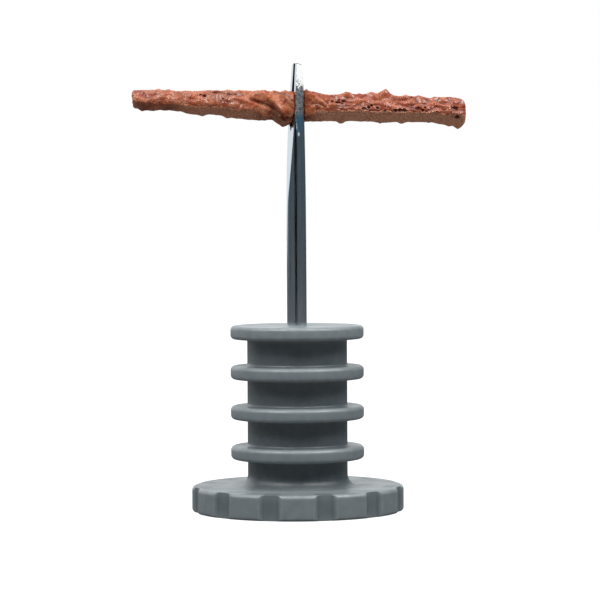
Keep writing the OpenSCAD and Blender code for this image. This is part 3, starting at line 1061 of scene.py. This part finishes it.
@dataclass
class StripArm:
    """One half of the sticky strip, from inside the needle's eye out to its cut end."""

    side: Side
    shape: ArmShape
    needle: Needle
    material: bpy.types.Material
    tilt: float = 2.4
    seat: float = 3.7
    around_r: float = 2.1
    columns: int = 200
    row_step: float = 0.08
    corner_rows: int = 16
    end_rings: tuple = (0.8, 0.55, 0.28)
    end_look: tuple = (("relief", 0.0), ("pit", 0.1), ("gloss", 0.4), ("fibre", 0.0), ("dust", 0.6))
    pit_depth: float = 0.25
    pore_depth: float = 0.07
    pinch_gap: float = 0.04
    least_eye: float = 0.12
    swell_reach: float = 0.9
    swell: float = 2.6
    blend_from: float = 2.3
    blend_to: float = 8.8

    @property
    def length(self) -> float:
        """Distance from the needle to the cut end."""
        low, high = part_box(self.shape.nodes[0])
        return (high.x if self.side is Side.RIGHT else -low.x) / MM - 0.02

    def frame_rows(self) -> np.ndarray:
        """Places of the rings, evenly spaced and then closer together over the cut end's corner.

        Returns:
            Rising distances from the needle.
        """
        reach = self.length - self.shape.end_round
        body = np.linspace(0, reach, int(reach / self.row_step))
        corner = reach + self.shape.end_round * np.sin(np.linspace(0, np.pi / 2, self.corner_rows)[1:])
        return np.concatenate([body, corner])

    def section_angle(self, u: np.ndarray, angle: np.ndarray) -> np.ndarray:
        """Angles measured from the strip's own section, whose faces centre on 0, 90, 180 and 270 degrees."""
        return angle[None] - np.radians(eased(u, self.shape.turns))[:, None]

    def tube(self, u: np.ndarray, angle: np.ndarray) -> np.ndarray:
        """Rings of a soft square, turned and then fitted to its height and depth.

        At angle a its radius is (|cos a|^n + |sin a|^n)^(-1/n), where n is the squareness.

        Args:
            u: distances from the needle, of shape (rings,).
            angle: angles around the strip, of shape (columns,).

        Returns:
            (rings, columns, 2) places across the strip: to the back and up.
        """
        n = eased(u, self.shape.squareness)[:, None]
        a = self.section_angle(u, angle)
        r = (np.abs(np.cos(a)) ** n + np.abs(np.sin(a)) ** n) ** (-1 / n)
        back, up = r * np.cos(angle), r * np.sin(angle)
        back = back / np.abs(back).max(1, keepdims=True) * eased(u, self.shape.depths)[:, None] / 2
        up = up / np.abs(up).max(1, keepdims=True) * eased(u, self.shape.heights)[:, None] / 2
        return np.stack([back, up], -1)

    def masks(self, u: np.ndarray, angle: np.ndarray, plain: np.ndarray) -> dict[str, np.ndarray]:
        """Where the strip is cut, wet, fibrous and dusty.

        The strip was cut from a sheet, so two opposite faces are cut, which are those at 0 and 180 degrees
        of its section, and the two between them have the sheet's wet skin. Noise breaks the border.

        Args:
            u: distances from the needle, of shape (rings,).
            angle: angles around the strip, of shape (columns,).
            plain: places on the plain tube, of shape (rings, columns, 3).

        Returns:
            The cut, gloss, fibre and dust masks, each from 0 to 1.
        """
        s, a, x = self.shape, self.section_angle(u, angle), plain[..., 0]
        ragged = 0.07 * layered_noise(plain / 0.9, s.seed + 7, 2)
        cut = smooth_step(0.66, 0.76, np.abs(np.cos(a)) + ragged)
        fibre = smooth_step(s.fibre_reach, s.fibre_reach * 0.35, x)
        if self.side is Side.RIGHT:
            cut = cut * smooth_step(1.2, 4.5, x + 3 * ragged)
        else:
            cut = cut * 0.75 * smooth_step(4.0, 7.0, x) * smooth_step(21.0, 15.0, x)
        wet = eased(u, s.wet)[:, None] * (1 - 0.95 * cut)
        patches = smooth_step(-0.55, 0.25, layered_noise(plain / 1.6, s.seed + 9, 2))
        dust = s.dust * smooth_step(-0.7, 0.4, layered_noise(plain / 1.3, s.seed + 10, 3))
        gloss = wet * (0.25 + 0.75 * patches)
        return {"cut": cut, "gloss": gloss, "fibre": fibre, "dust": np.maximum(cut, dust)}

    def blobs(self, warped: np.ndarray, mask: dict[str, np.ndarray]) -> np.ndarray:
        """Blobs of the skin: |noise|, which is round on top and creased between, at two sizes.

        Args:
            warped: places on the plain tube, pushed about by noise.
            mask: the masks of the strip.

        Returns:
            Heights in millimetres, lower where the rubber is fibrous.
        """
        s = self.shape
        large = np.abs(gradient_noise(warped / (2.0, 1.3, 1.3), s.seed + 30))
        small = np.abs(gradient_noise(warped / 0.62, s.seed + 31))
        both = (large - 0.28) + s.small_blob * (small - 0.28)
        return (1 - mask["cut"]) * s.blob * both * (1.15 - 0.6 * mask["fibre"])

    def strands(self, plain: np.ndarray, bend: np.ndarray, fibre: np.ndarray) -> np.ndarray:
        """Fibres: |noise|, long along the strip and fine across it, that winds around with the distance.

        Args:
            plain: places on the plain tube.
            bend: noise that pushes the fibres about.
            fibre: the strip's fibre mask.

        Returns:
            Heights in millimetres.
        """
        s, (x, back, up) = self.shape, np.moveaxis(plain, -1, 0)
        wind = 0.55 * x * fibre
        wound = (back * np.cos(wind) - up * np.sin(wind), back * np.sin(wind) + up * np.cos(wind))
        twisted = np.stack([x / 3.2, wound[0] / 0.95, wound[1] / 0.95], -1) + 0.35 * bend
        coarse = np.abs(gradient_noise(twisted, s.seed + 50))
        fine = np.abs(gradient_noise(twisted * 2.1, s.seed + 60))
        return s.fibre * (coarse + 0.4 * fine - 0.4) * fibre * 1.6

    def relief(self, angle: np.ndarray, plain: np.ndarray, mask: dict[str, np.ndarray],
               section: np.ndarray) -> tuple[np.ndarray, np.ndarray]:
        """Height of the rubber over the plain tube: lumps, blobs, fibres, crumbs, pits, folds and nibs.

        Lumps and crumbs are layered noise. Pits are where a noise passes a level that is lowest along the
        edge between a skin face and a cut face, and pores are small ones in the cut faces.

        Args:
            angle: angles around the strip, of shape (columns,).
            plain: places on the plain tube, of shape (rings, columns, 3).
            mask: the masks of the strip.
            section: angles in the strip's own section, of shape (rings, columns).

        Returns:
            The height in millimetres, and how deep in a pit each point is, from 0 to 1.
        """
        s, x, cut = self.shape, plain[..., 0], mask["cut"]
        bend = np.stack([gradient_noise(plain / 1.9, s.seed + k) for k in (20, 21, 22)], -1)
        warped = plain + 0.45 * bend
        height = s.lump * layered_noise(plain / 2.4, s.seed, 3, 0.5)
        height += self.blobs(warped, mask)
        height += self.strands(plain, bend, mask["fibre"])
        crumbs = layered_noise(plain / 0.3, s.seed + 80, 2, 0.6)
        height += 0.03 * crumbs * (1 - 0.8 * mask["gloss"])
        edge = np.exp(-(((np.abs(np.cos(section)) - 0.69) / 0.1) ** 2))
        clumps = smooth_step(-0.2, 0.5, gradient_noise(plain / (2.6, 9, 9), s.seed + 90))
        holes = gradient_noise(warped / (0.62, 0.42, 0.42), s.seed + 91)
        holes = holes + 0.3 * gradient_noise(plain / 0.2, s.seed + 92)
        level = s.pit_level - 0.42 * edge * clumps + 0.5 * cut * (1 - edge)
        pit = smooth_step(level, level + 0.22, holes) * smooth_step(1.2, 3.5, x)
        pit = self.listed_pits(height, pit, x, angle, crumbs, 1 - cut)
        pores = smooth_step(0.5, 0.8, gradient_noise(plain / 0.26, s.seed + 95)) * cut
        height -= self.pit_depth * pit + self.pore_depth * pores
        self.add_folds(height, x, angle, bend)
        self.add_nibs(height, x, angle)
        # the pit mask, with pores at 0.6, darkens them with painted shade
        return height, np.maximum(pit, 0.6 * pores)

    def listed_pits(self, height: np.ndarray, pit: np.ndarray, x: np.ndarray, angle: np.ndarray,
                    crumbs: np.ndarray, skin: np.ndarray) -> np.ndarray:
        """Opens the arm's own pits, and raises a rim, a bell curve of the distance, around each one.

        Args:
            height: the strip's height, which the rims are added to.
            pit: how deep in a pit each point already is.
            x: distances from the needle, of shape (rings, columns).
            angle: angles around the strip, of shape (columns,).
            crumbs: noise that breaks the pits' outlines.
            skin: 1 on the skin and 0 on the cut faces, which get no rims.

        Returns:
            How deep in a pit each point is, from 0 to 1.
        """
        for at_x, at_angle, size in self.shape.pits:
            turn = wrapped(angle[None] - np.radians(at_angle))
            apart = np.hypot(0.75 * (x - at_x), self.around_r * turn) / size + 0.5 * crumbs
            pit = np.maximum(pit, smooth_step(1.4, 0.7, apart))
            height += 0.3 * size * np.exp(-((apart - 1.8) / 0.5) ** 2) * skin
        return pit

    def add_folds(self, height: np.ndarray, x: np.ndarray, angle: np.ndarray, bend: np.ndarray) -> None:
        """Adds ridges and grooves, each a bell curve across its own line and lower at the line's ends.

        Args:
            height: the strip's height, which is changed.
            x: distances from the needle, of shape (rings, columns).
            angle: angles around the strip, of shape (columns,).
            bend: noise that bends the lines.
        """
        for from_x, from_angle, to_x, to_angle, wide, tall in self.shape.folds:
            start = np.array([from_x, self.around_r * np.radians(from_angle)])
            run = np.array([to_x, self.around_r * np.radians(to_angle)]) - start
            around = np.broadcast_to(self.around_r * angle[None], x.shape)
            spot = np.stack([x, around], -1) + 0.22 * bend[..., :2] - start
            share = np.clip((spot * run).sum(-1) / (run * run).sum(), 0, 1)
            apart = np.linalg.norm(spot - share[..., None] * run, axis=-1)
            fade = 0.45 + 0.55 * np.sin(np.pi * (0.1 + 0.8 * share))
            height += tall * np.exp(-(apart / wide) ** 2) * fade

    def add_nibs(self, height: np.ndarray, x: np.ndarray, angle: np.ndarray) -> None:
        """Adds small peaks, each a bell curve of the distance from its own place.

        Args:
            height: the strip's height, which is changed.
            x: distances from the needle, of shape (rings, columns).
            angle: angles around the strip, of shape (columns,).
        """
        for at_x, at_angle, size in self.shape.nibs:
            turn = wrapped(angle[None] - np.radians(at_angle))
            along, around = (x - at_x) / (1.3 * size + 0.2), turn * self.around_r / (1.1 * size + 0.25)
            height += 1.25 * size * np.exp(-(along ** 2 + around ** 2))

    def pinched(self, points: np.ndarray) -> np.ndarray:
        """Squeezes the rubber through the eye, and swells it out against the flats on both sides.

        In the blade's own frame a point may stand A = e + s * sqrt(d / w) from the middle plane, where e is
        the eye's half width, d the distance outside the blade's flats, w how far the swelling goes and s
        how strong it is. A point's distance y becomes A * tanh(y / A) near the blade.

        Args:
            points: places, of shape (..., 3).

        Returns:
            The same places, moved across the eye only.
        """
        turn = np.radians(self.needle.eye_turn)
        x, y, z = points[..., 0], points[..., 1], points[..., 2]
        across = x * np.cos(turn) + y * np.sin(turn)
        along = -x * np.sin(turn) + y * np.cos(turn)
        left, right, _, _ = self.needle.half_widths(z.ravel())
        left, right = left.reshape(z.shape) + self.pinch_gap, right.reshape(z.shape) + self.pinch_gap
        outside = np.maximum(np.maximum(-left - across, across - right), 0)
        eye = np.maximum(self.needle.eye_half(z) - self.pinch_gap, self.least_eye)
        room = eye + self.swell * np.sqrt(np.clip(outside / self.swell_reach, 0, 4))
        squeezed = room * np.tanh(along / room)
        share = smooth_step(2.4, 0.8, outside)
        along = along + (squeezed - along) * share
        return np.stack([across * np.cos(turn) - along * np.sin(turn),
                         across * np.sin(turn) + along * np.cos(turn), z], -1)

    def laid(self, u: np.ndarray, across: np.ndarray, plain: np.ndarray) -> np.ndarray:
        """Lays the rings along the strip's tilted line through the eye, with a slanted and ragged cut end.

        Args:
            u: distances from the needle, of shape (rings,).
            across: (rings, columns, 2) places across the strip: to the back and up.
            plain: places on the plain tube, of shape (rings, columns, 3).

        Returns:
            (rings, columns, 3) places in the tool's own frame.
        """
        s, sign, tilt = self.shape, self.side.value, np.radians(self.tilt)
        centre = self.needle.tip_z - self.needle.eye_l + self.seat
        near_end = smooth_step(self.length - 2.5, self.length, u)[:, None]
        ragged = 0.12 * np.abs(gradient_noise(plain / 1.1, s.seed + 99))
        slant = (s.end_slant * (across[..., 1] - 1.2) - ragged) * near_end
        x = sign * (u[:, None] + np.minimum(slant, 0)) * np.cos(tilt)
        z = centre + eased(u, s.rises)[:, None] + across[..., 1] - sign * u[:, None] * np.sin(tilt)
        return self.pinched(np.stack([x, across[..., 0], z], -1))

    def surface(self) -> Surface:
        """The tube with its relief, laid through the eye and closed at both ends.

        The cut end's corner is a quarter circle: at a share t of the way over it the tube is narrower by
        the corner's radius times 1 - sqrt(1 - t^2).

        Returns:
            The arm with its masks.
        """
        s, u, columns = self.shape, self.frame_rows(), self.columns
        angle = np.linspace(0, 2 * np.pi, columns, endpoint=False)
        across = self.tube(u, angle)
        plain = np.stack([np.broadcast_to(u[:, None], across.shape[:2]), across[..., 0], across[..., 1]], -1)
        mask = self.masks(u, angle, plain)
        height, pit = self.relief(angle, plain, mask, self.section_angle(u, angle))
        reach = np.linalg.norm(across, axis=-1, keepdims=True)
        across = across * (1 + height[..., None] / reach)
        over = np.clip((u - (self.length - s.end_round)) / s.end_round, 0, 1)
        across = across - across / reach * (s.end_round * (1 - np.sqrt(1 - over ** 2)))[:, None, None]
        points = self.laid(u, across, plain)
        ends = np.stack([points[0].mean(0), points[-1].mean(0)])
        rings = [self.shrunk(points[-1], ends[1], share) for share in self.end_rings]
        rows = len(points) + len(rings)
        body = np.concatenate([points.reshape(-1, 3), np.concatenate(rings), ends])
        first, last = np.arange(columns)[::-1], np.arange((rows - 1) * columns, rows * columns)
        faces = [ring_faces(rows, columns), pole_faces(first, rows * columns),
                 pole_faces(last, rows * columns + 1)]
        # relief also sets the painted shade in grooves and the painted highlight on crests
        values = {**mask, "relief": np.clip(height / 0.2, -1, 1), "pit": pit}
        extra = len(rings) * columns + len(ends)
        look = {key: np.append(values[key].ravel(), np.full(extra, at_end)) for key, at_end in self.end_look}
        return Surface(body, faces, look)

    def shrunk(self, ring: np.ndarray, centre: np.ndarray, share: float) -> np.ndarray:
        """Draws the cut end's ring towards its centre, with a crumbly face.

        Args:
            ring: (columns, 3) places of the last ring.
            centre: the ring's middle.
            share: the new ring's size against the old one.

        Returns:
            (columns, 3) places of the new ring.
        """
        flat = centre + (ring - centre) * share
        flat[:, 0] -= self.side.value * 0.1 * np.abs(layered_noise(flat / 0.7, self.shape.seed + 90, 2))
        return flat

    def build(self) -> None:
        """Makes the arm, bends it between the strip's middle and its own body, and hides the CAD solids."""
        name = f"strip_{self.side.name.lower()}_half"
        piece = self.surface().to_object(name, self.material, 70)
        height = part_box("strip_middle")[0].lerp(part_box("strip_middle")[1], 0.5).z
        ends = [Vector((self.side.value * d * MM, 0, height)) for d in (self.blend_from, self.blend_to)]
        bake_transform(piece, "strip_core", self.shape.body, start=ends[0], end=ends[1])
        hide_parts(*self.shape.nodes)


# ---------------------------------------------------------------- the studio

@dataclass
class Studio:
    """Pale floor, soft lights on both sides, a dim front with a black card, and the camera."""

    distance: float = 400.0
    camera_z: float = 44.5
    camera_x: float = 0.475
    aim_z: float = 31.6
    roll: float = 0.33
    seen_width: float = 90.0
    floor_glow: float = 1.0
    floor_bounce: float = 0.17
    dome_low: float = 0.7
    dome_high: float = 0.92
    dome_light: float = 1.9
    behind_way: tuple = (-0.34, 0.94)
    behind_low: float = 0.6
    behind_high: float = 0.89
    back_light: float = 1.0
    front_least: float = 0.15
    dim_colour: tuple = (0.078, 0.108, 0.13, 1)
    floor_colour: tuple = (0.11, 0.115, 0.12, 1)
    floor_half: float = 4000.0
    flag_left: float = -190.0
    flag_right: float = 55.0
    flag_top: float = 140.0
    flag_distance: float = 500.0
    flag_colour: tuple = (0.004, 0.004, 0.004, 1)
    sensor_width: float = 36.0
    softbox_distance: float = 700.0
    softboxes: tuple = (("left_key", -40, 50, 28, 20, 11.0), ("right_key", 50, 50, 38, 20, 9.0),
                        ("left_fill", -82, 38, 36, 34, 1.9), ("right_fill", 84, 45, 28, 34, 2.4))

    def camera(self) -> None:
        """Long lens in front of the tool, a little above its middle and tipped down to it."""
        data = bpy.data.cameras.new("camera")
        data.sensor_width = self.sensor_width
        data.lens = self.sensor_width * self.distance / self.seen_width
        data.clip_start, data.clip_end = 0.01, 20.0
        camera = bpy.data.objects.new("camera", data)
        bpy.context.scene.collection.objects.link(camera)
        pitch = np.arctan2(self.camera_z - self.aim_z, self.distance)
        camera.location = (self.camera_x * MM, -self.distance * MM, self.camera_z * MM)
        camera.rotation_euler = (np.pi / 2 - pitch, 0, 0)
        camera.rotation_euler.rotate_axis("Z", -np.radians(self.roll))
        bpy.context.scene.camera = camera

    def softbox(self, name: str, azimuth: float, elevation: float, wide: float, tall: float,
                radiance: float) -> None:
        """One soft light that faces the tool's middle.

        Args:
            name: the light's name.
            azimuth: degrees round from the camera's side, to the right.
            elevation: degrees above the floor.
            wide: width in degrees, as the tool sees it.
            tall: height in degrees.
            radiance: brightness of its face, where the background is 1.
        """
        size = 2 * self.softbox_distance * np.tan(np.radians([wide, tall]) / 2) * MM
        data = bpy.data.lights.new(name, "AREA")
        data.shape, data.size, data.size_y = "RECTANGLE", size[0], size[1]
        data.energy = radiance * np.pi * size[0] * size[1]
        lamp = bpy.data.objects.new(name, data)
        a, e = np.radians([azimuth, elevation])
        way = Vector((np.cos(e) * np.sin(a), -np.cos(e) * np.cos(a), np.sin(e)))
        lamp.location = Vector((0, 0, self.aim_z * MM)) + way * self.softbox_distance * MM
        lamp.rotation_euler = (-way).to_track_quat("-Z", "Y").to_euler()
        bpy.context.scene.collection.objects.link(lamp)

    def card(self, name: str, corners: list[tuple[float, float, float]],
             colour: tuple) -> tuple[bpy.types.Object, NodeTree, bpy.types.Node]:
        """Makes a flat dull sheet that belongs to the studio.

        Args:
            name: the sheet's and its material's name.
            corners: four corners in millimetres, turning left as seen from the sheet's front.
            colour: what it is painted.

        Returns:
            The sheet, its material's tree and its shader.
        """
        mesh = bpy.data.meshes.new(name)
        mesh.from_pydata([[c * MM for c in corner] for corner in corners], [], [(0, 1, 2, 3)])
        material, n, shader = new_material(name)
        n.feed(shader, {"Base Color": colour, "Specular IOR Level": 0.0})
        mesh.materials.append(material)
        sheet = bpy.data.objects.new(name, mesh)
        bpy.context.scene.collection.objects.link(sheet)
        return sheet, n, shader

    def floor(self) -> None:
        """Large pale floor: the camera sees it nearly white, and it throws little light on the tool."""
        half = self.floor_half
        corners = [(-half, -half, 0), (half, -half, 0), (half, half, 0), (-half, half, 0)]
        _, n, shader = self.card("floor", corners, self.floor_colour)
        path = n.add("ShaderNodeLightPath").outputs
        seen = n.math("MULTIPLY", path["Is Camera Ray"], self.floor_glow)
        bounced = n.math("MULTIPLY", path["Is Diffuse Ray"], self.floor_bounce)
        n.feed(shader, {"Roughness": 0.9, "Emission Color": (1, 1, 1, 1),
                        "Emission Strength": n.math("ADD", seen, bounced)})

    def world(self) -> None:
        """Bright overhead and behind to the left, dim and bluish low down, and dark straight in front."""
        world = bpy.data.worlds.new("studio")
        world.use_nodes = True
        bpy.context.scene.world = world
        n = NodeTree(world.node_tree)
        direction = n.add("ShaderNodeTexCoord").outputs["Generated"]
        x, y, z = n.add("ShaderNodeSeparateXYZ", {0: direction}).outputs
        high = n.math("MULTIPLY", n.span(z, self.dome_low, self.dome_high), self.dome_light)
        along_x, along_y = (n.math("MULTIPLY", part, share) for part, share in zip((x, y), self.behind_way))
        behind = n.math("ADD", along_y, along_x)
        back = n.math("MULTIPLY", n.span(behind, self.behind_low, self.behind_high), self.back_light)
        front = n.span(y, -0.998, -0.93, self.front_least, 1.0)
        dim = n.mix(front, (0.0, 0.0, 0.0, 1), self.dim_colour)
        level = n.add("ShaderNodeMix", {0: 1.0, 6: dim, 7: n.math("MAXIMUM", high, back)},
                      data_type="RGBA", blend_type="ADD").outputs[2]
        seen = n.add("ShaderNodeLightPath").outputs["Is Camera Ray"]
        shade = n.mix(seen, level, (1.0, 1.0, 1.0, 1))
        n.feed(world.node_tree.nodes["Background"], {"Color": shade, "Strength": 1.0})

    def flag(self) -> None:
        """Black card behind the camera, which the needle's plating shows as a dark stripe down its middle."""
        left, right, back, top = self.flag_left, self.flag_right, -self.flag_distance, self.flag_top
        corners = [(left, back, top), (right, back, top), (right, back, 0), (left, back, 0)]
        flag, _, _ = self.card("front_flag", corners, self.flag_colour)
        flag.visible_camera = False

    def build(self) -> None:
        """Sets up the camera, the floor and the lights."""
        self.camera()
        self.floor()
        self.world()
        for name, azimuth, elevation, wide, tall, radiance in self.softboxes:
            self.softbox(name, azimuth, elevation, wide, tall, radiance)
        self.flag()
        bpy.context.scene.view_settings.view_transform = "Standard"


def main() -> None:
    """Builds the studio and every piece."""
    logging.basicConfig(level=logging.INFO, format="%(name)s: %(message)s")
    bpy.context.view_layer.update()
    Studio().build()
    Handle().build()
    needle = Needle()
    needle.build()
    rubber = PlugRubber().build()
    for side, shape in ((Side.LEFT, LEFT_ARM), (Side.RIGHT, RIGHT_ARM)):
        StripArm(side, shape, needle, rubber).build()


if __name__ == "__main__":
    main()
